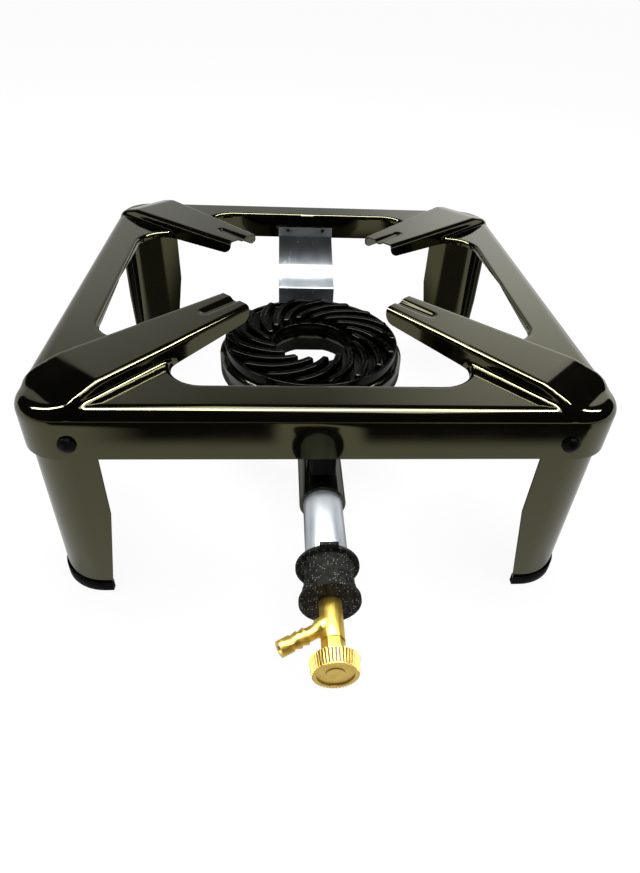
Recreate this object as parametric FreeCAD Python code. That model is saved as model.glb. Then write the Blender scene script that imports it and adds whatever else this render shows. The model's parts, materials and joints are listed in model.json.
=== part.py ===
import FreeCAD, Part
import math
import os

# A free-standing gas ring: four folded legs under a square pressed frame,
# with a two-part cast burner and its gas line hung inside.
# Millimetres, +Z up.  The origin is on the floor below the middle of the frame,
# and the gas line runs out along -Y to the control knob.

V = FreeCAD.Vector
UP = V(0, 0, 1)
FORWARD = V(0, -1, 0)
HERE = V(0, 0, 0)

# Pressed frame
frame_width = 400.0
pan_height = 182.0
arm_rise = 12.0
skirt_depth = 36.5
sheet = 1.5
skirt_corner_radius = 30.0
rail_edge_radius = 10.0
rail_width = 33.5
lip_depth = 5.0
channel_depth = 10.0
opening_corner_radius = 16.0
root_overlap = 0.2

# The four arms that carry the pan
arm_tip_reach = 91.0
arm_tip_half_width = 16.0
arm_root_half_width = 25.0
arm_draft = 1.5
arm_edge_radius = 3.5
tip_corner_radius = 8.0
arm_tip_rise = 5.5
arm_rise_start = 168.0
dome_length = 43.0
dome_slope = 14.0
dome_radius = 30.0
groove_radius = 5.7
groove_depth = 2.2
groove_length = 30.0

# Legs, their feet and their bolts
leg_sheet = 1.5
leg_clearance = 0.2
leg_corner_radius = 34.0
leg_flange = 51.0
leg_taper = 11.5
leg_taper_height = 81.0
leg_overlap = 18.5
foot_floor = 2.0
foot_wall = 1.5
foot_height = 9.0
foot_clearance = 0.1
bolt_inset = 36.5
bolt_height = 12.5
bolt_diameter = 6.0
bolt_hole_clearance = 0.2
cut_past = 1.0
bolt_head_diameter = 12.0
bolt_head_height = 4.0
bolt_head_side = 1.2
bolt_spare = 2.0
nut_flats = 10.0
nut_height = 5.0
nut_seat_gap = 0.3
thread_clearance = 0.05

# Burner castings
burner_radius = 85.0
burner_bottom = 80.0
burner_rim_height = 22.0
burner_base_radius = 3.5
burner_rim_radius = 3.0
burner_wall = 4.8
burner_floor = 4.5
seat_depth = 5.0
cap_clearance = 0.2
cap_wall = 4.0
cap_ledge_height = 11.0
cap_ledge_thickness = 4.0
cap_rim_height = 4.0
cap_rim_width = 2.5
hole_radius = 36.5
hole_taper = 1.0
hole_wall = 6.0
ridge_count = 18
ridge_width = 7.5
ridge_height = 7.0
ridge_sweep = 45.0
ridge_bow = 7.5
ridge_end_gap = 1.0
ridge_chamfer = 2.0

# Gas line
gas_height = 96.0
neck_radius = 16.0
neck_end = 204.0
tube_radius = 13.5
tube_wall = 1.2
tube_length = 79.0
tube_socket = 25.0
duct_taper_start = 125.0
duct_taper_end = 88.0
duct_end_radius = 6.0
duct_overlap = 1.5
slip_clearance = 0.05

# Injector housing and the air shutter that turns on it
housing_radius = 14.2
housing_bore = 10.0
housing_length = 25.5
housing_spigot = 14.0
housing_flange_radius = 18.7
housing_flange = 3.0
window_length = 12.0
window_height = 13.0
window_setback = 7.0
shutter_wall = 2.2
shutter_play = 0.3
shutter_disc_radius = 20.0
shutter_disc = 2.5
shutter_key_width = 11.5
shutter_key_height = 2.5

# Valve, jet and knob
valve_radius = 6.9
valve_length = 25.5
valve_spigot_radius = 5.0
valve_spigot = 8.0
gas_bore_radius = 1.2
jet_flats = 8.0
jet_hex = 5.0
jet_nose = 5.0
jet_nose_radius = 2.0
jet_tail_radius = 2.5
jet_tail = 4.0
jet_hole_radius = 0.6
packing_radius = 4.9
packing_length = 3.0
gland_flats = 12.0
gland_length = 7.5
gland_spigot = 3.0
spindle_radius = 3.0
spindle_reach = 10.0
spindle_gap = 4.0
spindle_grip = 8.0
hose_branch = 13.3
hose_angle = 28.7
hose_length = 34.0
hose_bore_radius = 2.2
hose_boss_radius = 6.0
hose_boss_length = 11.0
hose_boss_taper = 3.0
hose_shank_radius = 4.1
barb_radius = 5.1
barb_length = 3.0
barb_pitch = 4.5
barb_count = 2
hose_land_radius = 4.8
hose_land = 7.5
knob_radius = 14.0
knob_thickness = 8.8
knob_face_ratio = 0.92
knob_flutes = 44
knob_flute_depth = 0.7
knob_rim = 1.8
knob_recess = 1.0
knob_disc_radius = 5.25
knob_disc_step = 0.5

# Straps that hold the burner in the frame, with their fasteners
rear_strap_width = 61.0
front_strap_width = 16.0
strap_thickness = 2.0
rear_strap_overlap = 12.0
rear_strap_fold = 2.0
rear_strap_knee = 128.0
rear_strap_knee_height = 100.0
rear_strap_end = 50.0
strap_bend_radius = 3.0
strap_corner_radius = 6.0
front_strap_overlap = 22.0
front_strap_end = 141.0
rear_boss_place = 62.0
rear_boss_radius = 8.0
rear_boss_height = 8.0
front_boss_place = 150.0
front_boss_radius = 6.0
front_boss_height = 2.0
rear_screw_diameter = 6.0
front_screw_diameter = 5.0
rear_screw_depth = 8.5
front_screw_depth = 4.0
screw_head_ratio = 1.8
screw_head_height = 3.5
head_steps = 3
rivet_diameter = 4.0
rivet_spacing = 40.0
rivet_margin = 3.5

# Places that several pieces share
half_width = frame_width / 2
rail_top = pan_height - arm_rise
skirt_bottom = rail_top - skirt_depth
skirt_inside = half_width - sheet
corner_reach = (half_width - skirt_corner_radius) * math.sqrt(2) + skirt_corner_radius
arm_bend = corner_reach - dome_length
leg_half_width = skirt_inside - leg_clearance
leg_top = skirt_bottom + leg_overlap
bolt_place = half_width - bolt_inset
bolt_z = skirt_bottom + bolt_height
seat_z = burner_bottom + burner_rim_height - seat_depth
ledge_z = seat_z + cap_ledge_height
ridge_top = ledge_z + ridge_height
cap_radius = burner_radius - burner_wall - cap_clearance
tube_start = neck_end - tube_socket
tube_end = tube_start + tube_length
flange_back = tube_end + housing_length
valve_start = flange_back + housing_flange
valve_end = valve_start + valve_length
gland_end = valve_end + gland_length
knob_back = gland_end + spindle_gap
knob_front = knob_back + knob_thickness
strap_underside = gas_height + neck_radius + front_boss_height
tongue_top = burner_bottom - rear_boss_height


def lathe(points):
    """Solid of revolution about Z from (radius, height) points."""
    corners = [V(r, 0, z) for r, z in points]
    face = Part.Face(Part.makePolygon(corners + corners[:1]))
    return face.revolve(HERE, UP, 360)


def tube(outer, inner, low, high):
    return lathe([(inner, low), (outer, low), (outer, high), (inner, high)])


def rod(radius, low, high):
    return Part.makeCylinder(radius, high - low, V(0, 0, low))


def box(x0, x1, y0, y1, z0, z1):
    return Part.makeBox(x1 - x0, y1 - y0, z1 - z0, V(x0, y0, z0))


def hexagon(flats, low, high):
    reach = flats / math.sqrt(3)
    turns = [math.radians(60 * k) for k in range(7)]
    outline = Part.makePolygon([V(reach * math.cos(a), reach * math.sin(a), low) for a in turns])
    return Part.Face(outline).extrude(V(0, 0, high - low))


def laid(shape, base, direction):
    """Copy of a shape whose own Z axis now starts at base and points along direction."""
    placed = shape.copy()
    placed.Placement = FreeCAD.Placement(base, FreeCAD.Rotation(UP, direction))
    return placed


def on_gas_line(shape):
    return laid(shape, V(0, 0, gas_height), FORWARD)


def turned(shape, angle):
    copy = shape.copy()
    copy.rotate(HERE, UP, angle)
    return copy


def is_upright(edge):
    first, last = edge.Vertexes[0], edge.Vertexes[-1]
    return abs(first.X - last.X) < 0.001 and abs(first.Y - last.Y) < 0.001


def square_block(half, radius, low, high):
    block = box(-half, half, -half, half, low, high)
    return block.makeFillet(radius, [edge for edge in block.Edges if is_upright(edge)])


def arm_outline(inset):
    """Side view of one arm: flat pan rest, sloping dome, upright outer end and a wall
    that grows shallower towards the tip."""
    top = pan_height - inset
    slope = math.radians(dome_slope)
    radius = dome_radius - inset
    centre_d = corner_reach - dome_radius
    run = centre_d + dome_radius * math.sin(slope) - arm_bend
    centre_z = pan_height - run * math.tan(slope) - dome_radius * math.cos(slope)
    bend = V(arm_bend - inset * math.tan(slope / 2), 0, top)
    points = [bend]
    for angle in (slope, (slope + math.pi / 2) / 2, math.pi / 2):
        points.append(V(centre_d + radius * math.sin(angle), 0, centre_z + radius * math.cos(angle)))
    low = min(centre_z, rail_top - lip_depth) - rail_edge_radius
    outer_low = V(corner_reach - inset, 0, low)
    if inset:
        start = arm_tip_reach - tip_corner_radius
        inner_line = [outer_low, V(start, 0, low), V(start, 0, top), bend]
        return [Part.LineSegment(points[0], points[1]).toShape(),
                Part.Arc(points[1], points[2], points[3]).toShape(),
                Part.LineSegment(points[3], outer_low).toShape(),
                *[Part.LineSegment(a, b).toShape() for a, b in zip(inner_line, inner_line[1:])]]
    edge_z = rail_top - lip_depth
    corner = tip_corner_radius
    middle = corner * (1 - math.sqrt(0.5))
    tip_low = V(arm_tip_reach + corner, 0, edge_z + arm_tip_rise)
    tip_high = V(arm_tip_reach, 0, tip_low.z + corner)
    tip_top = V(arm_tip_reach, 0, top)
    root = V(arm_rise_start, 0, edge_z)
    under = V(arm_rise_start, 0, low)
    return [Part.LineSegment(points[0], points[1]).toShape(),
            Part.Arc(points[1], points[2], points[3]).toShape(),
            Part.LineSegment(points[3], outer_low).toShape(),
            Part.LineSegment(outer_low, under).toShape(),
            Part.LineSegment(under, root).toShape(),
            Part.LineSegment(root, tip_low).toShape(),
            Part.Arc(tip_low, V(arm_tip_reach + middle, 0, tip_low.z + middle), tip_high).toShape(),
            Part.LineSegment(tip_high, tip_top).toShape(),
            Part.LineSegment(tip_top, bend).toShape()]


def arm_section(inset, start, z):
    """Outline of one arm seen from above, cut at height z."""
    end = corner_reach + skirt_corner_radius
    widening = (arm_root_half_width - arm_tip_half_width) / (arm_bend - arm_tip_reach)
    lean = arm_draft / (arm_rise + lip_depth)
    wall_inset = inset * math.sqrt(1 + widening ** 2) * math.sqrt(1 + lean ** 2)
    extra = (pan_height - z) * lean - wall_inset
    near = arm_tip_half_width + widening * (start - arm_tip_reach) + extra
    far = arm_tip_half_width + widening * (end - arm_tip_reach) + extra
    return Part.makePolygon([V(start, -near, z), V(end, -far, z), V(end, far, z),
                             V(start, near, z), V(start, -near, z)])


def arm_block(inset):
    """One arm along +X: walls that lean in a little, cut to the side view, top edges rounded."""
    top = pan_height - inset
    bottom = rail_top - lip_depth - (channel_depth if inset else 0)
    start = arm_tip_reach - (tip_corner_radius if inset else 0)
    block = Part.makeLoft([arm_section(inset, start, z) for z in (bottom, top)], True, True)
    side = Part.Face(Part.Wire(arm_outline(inset))).extrude(V(0, frame_width, 0))
    side.translate(V(0, -half_width, 0))
    block = block.common(side).Solids[0]
    long_edges = []
    for edge in block.Edges:
        heights = [vertex.Z for vertex in edge.Vertexes]
        off_axis = abs(edge.CenterOfMass.y) > arm_tip_half_width / 2
        if off_axis and edge.Length > arm_rise and max(heights) > top - 0.001 and min(heights) > bottom + 0.001:
            long_edges.append(edge)
    block = block.makeFillet(arm_edge_radius - inset, long_edges)
    return block.cut(arm_groove(inset))


def arm_groove(inset):
    """Half-round groove in the pan rest from the tip outwards, with a round end."""
    radius = groove_radius + inset
    height = pan_height + groove_radius - groove_depth
    start = arm_tip_reach - tip_corner_radius
    end = arm_tip_reach + groove_length
    groove = Part.makeCylinder(radius, end - start, V(start, 0, height), V(1, 0, 0))
    return groove.fuse(Part.makeSphere(radius, V(end, 0, height)))


def rail_opening(inset):
    """Upright cutter for the space inside the rail, rounded where the arms meet the rail."""
    reach = half_width - rail_width + inset
    root = Part.Face(arm_section(inset + root_overlap, arm_rise_start, rail_top)).extrude(V(0, 0, pan_height))
    root.translate(V(0, 0, -rail_top))
    space = box(-reach, reach, -reach, reach, 0, pan_height)
    space = space.cut([turned(root, 45 + 90 * k) for k in range(4)])
    corners = []
    for edge in space.Edges:
        across = sorted((abs(edge.CenterOfMass.x), abs(edge.CenterOfMass.y)))
        if is_upright(edge) and abs(across[1] - reach) < 0.001 and across[0] < reach - sheet:
            corners.append(edge)
    return space.makeFillet(opening_corner_radius + inset, corners)


def frame_form(inset):
    """Solid bounded by the outer (inset 0) or inner (inset = sheet) face of the pressing."""
    half = half_width - inset
    corner = skirt_corner_radius - inset
    top = rail_top - inset
    block = square_block(half, corner, skirt_bottom - inset, top)
    rim = [edge for edge in block.Edges if min(v.Z for v in edge.Vertexes) > top - 0.001]
    block = block.makeFillet(rail_edge_radius - inset, rim)
    ring = block.cut(rail_opening(inset))
    bounds = square_block(half, corner, 0, pan_height + arm_rise)
    arm = arm_block(inset)
    arms = [turned(arm, 45 + 90 * k).common(bounds) for k in range(4)]
    return ring.fuse(arms).removeSplitter().Solids[0]


def skirt_places(distance, height):
    """Eight points on the skirt's outer face, two on each side, with the outward direction."""
    places = []
    for k in range(4):
        for side in (-1, 1):
            turn = FreeCAD.Rotation(UP, 90 * k)
            places.append((turn.multVec(V(side * distance, -half_width, height)),
                           turn.multVec(V(0, -1, 0))))
    return places


def rivet_places():
    return [V(side * rivet_spacing / 2, half_width, skirt_bottom + rear_strap_overlap - rivet_margin)
            for side in (-1, 1)]


def frame_pressing():
    pressing = frame_form(0.0).cut(frame_form(sheet))
    open_half = half_width - rail_width + sheet
    pressing = pressing.cut(box(-open_half, open_half, -open_half, open_half, 0, rail_top - lip_depth))
    hole = rod(bolt_diameter / 2 + bolt_hole_clearance, -sheet - cut_past, cut_past)
    holes = [laid(hole, place, out) for place, out in skirt_places(bolt_place, bolt_z)]
    rivet_hole = rod(rivet_diameter / 2 + thread_clearance, -sheet - cut_past, cut_past)
    holes += [laid(rivet_hole, place, V(0, 1, 0)) for place in rivet_places()]
    return pressing.cut(holes).Solids[0]


def leg():
    """Rear right leg: a folded angle whose flanges narrow below the taper height."""
    outer = square_block(leg_half_width, leg_corner_radius, foot_floor, leg_top)
    inner = square_block(leg_half_width - leg_sheet, leg_corner_radius - leg_sheet, 0, pan_height)
    edge = leg_half_width - leg_flange
    outline = [V(edge, 0, leg_top), V(edge, 0, leg_taper_height), V(edge + leg_taper, 0, 0),
               V(frame_width, 0, 0), V(frame_width, 0, leg_top), V(edge, 0, leg_top)]
    flank = Part.Face(Part.makePolygon(outline)).extrude(V(0, frame_width, 0))
    other = flank.mirror(HERE, V(1, -1, 0))
    angle = outer.cut(inner).common(flank).common(other)
    hole = rod(bolt_diameter / 2 + bolt_hole_clearance, -leg_flange, leg_flange / 2)
    x_hole = laid(hole, V(leg_half_width, bolt_place, bolt_z), V(1, 0, 0))
    y_hole = laid(hole, V(bolt_place, leg_half_width, bolt_z), V(0, 1, 0))
    return angle.cut([x_hole, y_hole]).Solids[0]


def foot_cap():
    """Moulded shoe under the rear right leg: an angle-shaped channel with a floor, open at both ends."""
    outside = leg_half_width + foot_wall + foot_clearance
    inside = leg_half_width - leg_sheet - foot_wall - foot_clearance
    slot_out = leg_half_width + foot_clearance
    slot_in = leg_half_width - leg_sheet - foot_clearance
    leg_edge = leg_half_width - leg_flange + leg_taper * (1 - foot_height / leg_taper_height)

    def channel(outer, inner, edge, low, high):
        grow = outer - leg_half_width
        shrink = leg_half_width - inner
        ring = square_block(outer, leg_corner_radius + grow, low, high)
        ring = ring.cut(square_block(inner, leg_corner_radius - shrink, low, high))
        return ring.common(box(edge, outer, edge, outer, low, high))

    shoe = channel(outside, inside, leg_edge, 0, foot_height)
    slot = channel(slot_out, slot_in, leg_edge - cut_past, foot_floor, foot_height + cut_past)
    return shoe.cut(slot).Solids[0]


def headed(radius, length, head_radius, side, height):
    """Bolt, screw or rivet: shank below Z = 0 and a crowned head above it."""
    points = [(0, -length), (radius, -length), (radius, 0), (head_radius, 0)]
    for step in range(head_steps):
        angle = math.pi / 2 * step / head_steps
        points.append((head_radius * math.cos(angle), side + (height - side) * math.sin(angle)))
    return lathe(points + [(0, height)])


def leg_bolt():
    """Round-headed bolt: Z = 0 is the skirt's outer face and the head stands above it."""
    grip = sheet + leg_clearance + leg_sheet + nut_seat_gap + nut_height + bolt_spare
    return headed(bolt_diameter / 2, grip, bolt_head_diameter / 2, bolt_head_side, bolt_head_height)


def leg_nut():
    top = -(sheet + leg_clearance + leg_sheet + nut_seat_gap)
    nut = hexagon(nut_flats, top - nut_height, top)
    return nut.cut(rod(bolt_diameter / 2 + thread_clearance, top - nut_height - cut_past, top + cut_past))


def hole_cone(low, high):
    """Tapered hole through both castings, widest at the tops of the ridges."""
    rate = hole_taper / (ridge_top - burner_bottom)

    def radius(z):
        return hole_radius - (ridge_top - z) * rate

    return lathe([(0, low), (radius(low), low), (radius(high), high), (0, high)])


def duct():
    """Gas passage from the mixing tube's socket, narrowing and dropping into the channel."""
    bore = tube_radius - tube_wall
    end_drop = gas_height - (burner_bottom + burner_floor + duct_end_radius)
    narrow = V(0, -end_drop, duct_taper_end)
    run = V(0, 0, duct_taper_start) - narrow
    taper = laid(Part.makeCone(duct_end_radius, bore, run.Length), narrow, run)
    socket = rod(tube_radius + slip_clearance, tube_start, neck_end)
    straight = rod(bore, duct_taper_start - duct_overlap, tube_start)
    mouth = rod(duct_end_radius, cap_radius - cap_wall - duct_end_radius, duct_taper_end + duct_overlap)
    mouth.translate(V(0, -end_drop, 0))
    return [on_gas_line(shape) for shape in (socket, straight, taper, mouth)]


def burner_body():
    """Lower casting: bowl with a ring-shaped gas channel, the neck and two fixing bosses."""
    rim_z = burner_bottom + burner_rim_height
    bowl = lathe([(0, burner_bottom), (burner_radius - burner_base_radius, burner_bottom),
                  (burner_radius, burner_bottom + burner_base_radius), (burner_radius, rim_z - burner_rim_radius),
                  (burner_radius - burner_rim_radius, rim_z), (0, rim_z)])
    neck = rod(neck_radius, burner_radius - neck_radius, neck_end)
    rear_boss = rod(rear_boss_radius, tongue_top, burner_bottom + burner_floor)
    rear_boss.translate(V(0, rear_boss_place, 0))
    front_boss = rod(front_boss_radius, gas_height, strap_underside)
    front_boss.translate(V(0, -front_boss_place, 0))
    solid = bowl.fuse([on_gas_line(neck), rear_boss, front_boss])
    channel_outer = cap_radius - cap_wall
    channel_inner = hole_radius + hole_wall
    rear_tap = rod(rear_screw_diameter / 2 + thread_clearance, tongue_top - cut_past, tongue_top + rear_screw_depth)
    rear_tap.translate(V(0, rear_boss_place, 0))
    front_tap = rod(front_screw_diameter / 2 + thread_clearance,
                    strap_underside - front_screw_depth - thread_clearance, strap_underside + cut_past)
    front_tap.translate(V(0, -front_boss_place, 0))
    cuts = duct() + [rear_tap, front_tap,
                     rod(cap_radius + cap_clearance, seat_z, pan_height),
                     tube(channel_outer, channel_inner, burner_bottom + burner_floor, pan_height),
                     hole_cone(burner_bottom - cut_past, ridge_top)]
    return solid.cut(cuts).removeSplitter().Solids[0]


def ridge():
    """One curved rib of the cap, sweeping round as it runs in from the rim to the hole."""
    half = ridge_width / 2
    outer_reach = cap_radius - ridge_end_gap - half
    inner_reach = hole_radius + half
    sweep = math.radians(ridge_sweep)
    start = V(outer_reach, 0, 0)
    end = V(inner_reach * math.cos(sweep), inner_reach * math.sin(sweep), 0)
    chord = end - start
    along = chord / chord.Length
    out = V(along.y, -along.x, 0)
    if out.y < 0:
        out = out * -1
    radius = chord.Length ** 2 / (8 * ridge_bow) + ridge_bow / 2
    centre = (start + end) * 0.5 - out * (radius - ridge_bow)

    def point(target, size):
        ray = target - centre
        return centre + ray * (size / ray.Length)

    crown = centre + out * radius
    end_tip = end + tangent(end - centre, chord) * half
    start_tip = start - tangent(start - centre, chord) * half
    outline = [Part.Arc(point(start, radius + half), point(crown, radius + half), point(end, radius + half)),
               Part.Arc(point(end, radius + half), end_tip, point(end, radius - half)),
               Part.Arc(point(end, radius - half), point(crown, radius - half), point(start, radius - half)),
               Part.Arc(point(start, radius - half), start_tip, point(start, radius + half))]
    face = Part.Face(Part.Wire([arc.toShape() for arc in outline]))
    root = cap_ledge_thickness / 2
    face.translate(V(0, 0, ledge_z - root))
    rib = face.extrude(V(0, 0, ridge_height + root))
    top_edges = [edge for edge in rib.Edges if min(v.Z for v in edge.Vertexes) > ridge_top - 0.001]
    return rib.makeChamfer(ridge_chamfer, top_edges)


def tangent(ray, forward):
    """Unit vector square to a ray, on the side that forward points to."""
    side = V(-ray.y, ray.x, 0)
    if side.dot(forward) < 0:
        side = side * -1
    return side / side.Length


def burner_cap():
    """Upper casting: a ring with a thin rim and the swirl of ribs that carry the flame ports."""
    rim_top = ledge_z + cap_rim_height
    rim_inner = cap_radius - cap_rim_width
    channel_outer = cap_radius - cap_wall
    channel_inner = hole_radius + hole_wall
    under = ledge_z - cap_ledge_thickness
    ring = lathe([(0, seat_z), (channel_inner, seat_z), (channel_inner, under), (channel_outer, under),
                  (channel_outer, seat_z), (cap_radius, seat_z), (cap_radius, rim_top),
                  (rim_inner, rim_top), (rim_inner, ledge_z), (0, ledge_z)])
    rib = ridge()
    ribs = [turned(rib, 360.0 * k / ridge_count) for k in range(ridge_count)]
    cap = ring.fuse(ribs)
    return cap.cut(hole_cone(seat_z - cut_past, ridge_top + cut_past)).removeSplitter().Solids[0]


def strap(points, width, corner, end):
    """Bent strip: points (y, z) run along one face, the metal lies on their left,
    and the corners are rounded at the end whose y is given."""
    path = [V(0, y, z) for y, z in points]
    offsets = []
    for k, here in enumerate(path):
        normals = []
        if k > 0:
            normals.append(left_of(path[k] - path[k - 1]))
        if k < len(path) - 1:
            normals.append(left_of(path[k + 1] - path[k]))
        both = normals[0] + normals[-1]
        offsets.append(here + both * (2 * strap_thickness / both.Length ** 2))
    outline = path + offsets[::-1] + path[:1]
    strip = Part.Face(Part.makePolygon(outline)).extrude(V(width, 0, 0))
    strip.translate(V(-width / 2, 0, 0))
    bends = []
    for k in range(1, len(path) - 1):
        turn = left_of(path[k] - path[k - 1]).dot(path[k + 1] - path[k])
        if abs(turn) < 0.5 * (path[k + 1] - path[k]).Length:
            continue
        sizes = [strap_bend_radius + strap_thickness, strap_bend_radius]
        if turn < 0:
            sizes.reverse()
        bends += zip((path[k], offsets[k]), sizes)
    for place, size in bends:
        chosen = [edge for edge in strip.Edges if (edge.CenterOfMass - place).Length < 0.001]
        strip = strip.makeFillet(size, chosen)
    ends = [edge for edge in strip.Edges
            if abs(edge.Length - strap_thickness) < 0.001 and abs(edge.CenterOfMass.y - end) < 0.001]
    return strip.makeFillet(corner, ends)


def left_of(direction):
    side = V(0, -direction.z, direction.y)
    return side / side.Length


def rear_bracket():
    """Wide plated strap: from the rear skirt's inside it slopes down and forward, drops behind
    the burner and runs under it to the boss."""
    low = tongue_top - strap_thickness
    points = [(rear_strap_end, low), (rear_strap_knee, low), (rear_strap_knee, rear_strap_knee_height),
              (skirt_inside, skirt_bottom + rear_strap_fold), (skirt_inside, skirt_bottom + rear_strap_overlap)]
    bracket = strap(points, rear_strap_width, strap_corner_radius, rear_strap_end)
    screw_hole = rod(rear_screw_diameter / 2 + bolt_hole_clearance, low - cut_past, tongue_top + cut_past)
    screw_hole.translate(V(0, rear_boss_place, 0))
    rivet_hole = rod(rivet_diameter / 2 + thread_clearance, -(sheet + strap_thickness + cut_past), 0)
    rivets = [laid(rivet_hole, place, V(0, 1, 0)) for place in rivet_places()]
    return bracket.cut([screw_hole] + rivets)


def front_bracket():
    """Narrow strap: down the front skirt's inside, then back above the neck to its boss."""
    points = [(-skirt_inside, skirt_bottom + front_strap_overlap), (-skirt_inside, strap_underside),
              (-front_strap_end, strap_underside)]
    bracket = strap(points, front_strap_width, strap_corner_radius, -front_strap_end)
    hole = rod(front_screw_diameter / 2 + bolt_hole_clearance, strap_underside - cut_past,
               strap_underside + strap_thickness + cut_past)
    hole.translate(V(0, -front_boss_place, 0))
    return bracket.cut(hole)


def screw(diameter, length):
    """Pan-head screw whose head sits on Z = 0 and whose shank runs down."""
    return headed(diameter / 2, length, screw_head_ratio * diameter / 2, screw_head_height / 2, screw_head_height)


def mixing_tube():
    return on_gas_line(tube(tube_radius, tube_radius - tube_wall, tube_start, tube_end))


def window(low):
    """Pair of side openings for air, as one cutter across the gas line."""
    reach = shutter_disc_radius
    return on_gas_line(box(-reach, reach, -window_height / 2, window_height / 2, low, low + window_length))


def injector_housing():
    spigot_radius = tube_radius - tube_wall - slip_clearance
    housing = lathe([(housing_bore, tube_end - housing_spigot), (spigot_radius, tube_end - housing_spigot),
                     (spigot_radius, tube_end), (housing_radius, tube_end), (housing_radius, flange_back),
                     (housing_flange_radius, flange_back), (housing_flange_radius, valve_start),
                     (valve_spigot_radius + slip_clearance, valve_start),
                     (valve_spigot_radius + slip_clearance, flange_back), (housing_bore, flange_back)])
    return on_gas_line(housing).cut(window(tube_end + window_setback))


def air_shutter():
    inner = housing_radius + slip_clearance
    outer = inner + shutter_wall
    low = tube_end + shutter_play
    high = flange_back - shutter_play
    sleeve = lathe([(inner, low), (shutter_disc_radius, low), (shutter_disc_radius, low + shutter_disc),
                    (outer, low + shutter_disc), (outer, high), (inner, high)])
    half = shutter_key_width / 2
    key = box(-half, half, outer, shutter_disc_radius + shutter_key_height, low, low + shutter_disc)
    return on_gas_line(sleeve.fuse(key).removeSplitter()).cut(window(tube_end + window_setback))


def hose_direction():
    angle = math.radians(hose_angle)
    return V(-math.cos(angle), -math.sin(angle), 0)


def hose_start():
    return V(0, -(valve_start + hose_branch), gas_height)


def valve_body():
    """Brass body with the rear spigot for the jet and a side branch with a barbed hose end."""
    body = rod(valve_radius, valve_start, valve_end).fuse(
        rod(valve_spigot_radius, valve_start - valve_spigot, valve_start + cut_past))
    points = [(0, 0), (hose_boss_radius, 0), (hose_boss_radius, hose_boss_length - hose_boss_taper),
              (hose_shank_radius, hose_boss_length)]
    first = hose_length - hose_land - barb_count * barb_pitch
    for k in range(barb_count):
        low = first + k * barb_pitch
        points += [(hose_shank_radius, low), (barb_radius, low), (hose_shank_radius, low + barb_length)]
    points += [(hose_shank_radius, hose_length - hose_land), (hose_land_radius, hose_length - hose_land),
               (hose_land_radius, hose_length), (0, hose_length)]
    branch = laid(lathe(points), hose_start(), hose_direction())
    solid = on_gas_line(body).fuse(branch)
    chamber = valve_end - gland_spigot - packing_length
    spindle_end = valve_end - spindle_reach
    cuts = [on_gas_line(shape) for shape in (
        rod(gas_bore_radius, valve_start - valve_spigot, valve_end),
        rod(jet_tail_radius + thread_clearance, valve_start - valve_spigot,
            valve_start - valve_spigot + jet_tail + thread_clearance),
        rod(spindle_radius + slip_clearance, spindle_end - slip_clearance, valve_end),
        rod(packing_radius + slip_clearance, chamber, valve_end))]
    cuts.append(laid(rod(hose_bore_radius, 0, hose_length), hose_start(), hose_direction()))
    return solid.cut(cuts).removeSplitter().Solids[0]


def gas_jet():
    back = valve_start - valve_spigot
    hex_end = back - jet_hex
    nose = lathe([(0, hex_end - jet_nose), (jet_nose_radius, hex_end - jet_nose),
                  (jet_flats / 2, hex_end), (0, hex_end)])
    solid = hexagon(jet_flats, hex_end, back).fuse([nose, rod(jet_tail_radius, hex_end, back + jet_tail)])
    return on_gas_line(solid.cut(rod(jet_hole_radius, hex_end - jet_nose - cut_past, back + jet_tail + cut_past)))


def gland_packing():
    low = valve_end - gland_spigot - packing_length
    return on_gas_line(tube(packing_radius, spindle_radius + slip_clearance, low, low + packing_length))


def gland_nut():
    solid = hexagon(gland_flats, valve_end, gland_end).fuse(
        rod(packing_radius, valve_end - gland_spigot, valve_end + cut_past))
    bore = rod(spindle_radius + slip_clearance, valve_end - gland_spigot - cut_past, gland_end)
    return on_gas_line(solid.cut(bore))


def valve_spindle():
    start = valve_end - spindle_reach
    end = knob_back + spindle_grip
    tip = lathe([(0, start), (spindle_radius / 2, start), (spindle_radius, start + spindle_radius),
                 (spindle_radius, end), (0, end)])
    return on_gas_line(tip)


def control_knob():
    """Fluted disc, a little smaller at the front, with a raised rim, a sunk ring and a centre disc."""
    root = knob_radius - knob_flute_depth
    step = 2 * math.pi / knob_flutes
    outlines = []
    for ratio, height in ((1.0, knob_back), (knob_face_ratio, knob_front)):
        points = []
        for k in range(knob_flutes):
            for share, radius in ((0.0, root), (0.2, root), (0.4, knob_radius), (0.8, knob_radius)):
                angle = (k + share) * step
                points.append(V(ratio * radius * math.cos(angle), ratio * radius * math.sin(angle), height))
        outlines.append(Part.makePolygon(points + points[:1]))
    knob = Part.makeLoft(outlines, True, True)
    dish = knob_face_ratio * root - knob_rim
    sunk = knob_front - knob_recess
    disc_front = knob_front - knob_recess + knob_disc_step
    cuts = [tube(dish, knob_disc_radius, sunk, knob_front),
            rod(knob_disc_radius, disc_front, knob_front),
            rod(spindle_radius + thread_clearance, knob_back, knob_back + spindle_grip + thread_clearance)]
    return on_gas_line(knob.cut(cuts))


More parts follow.
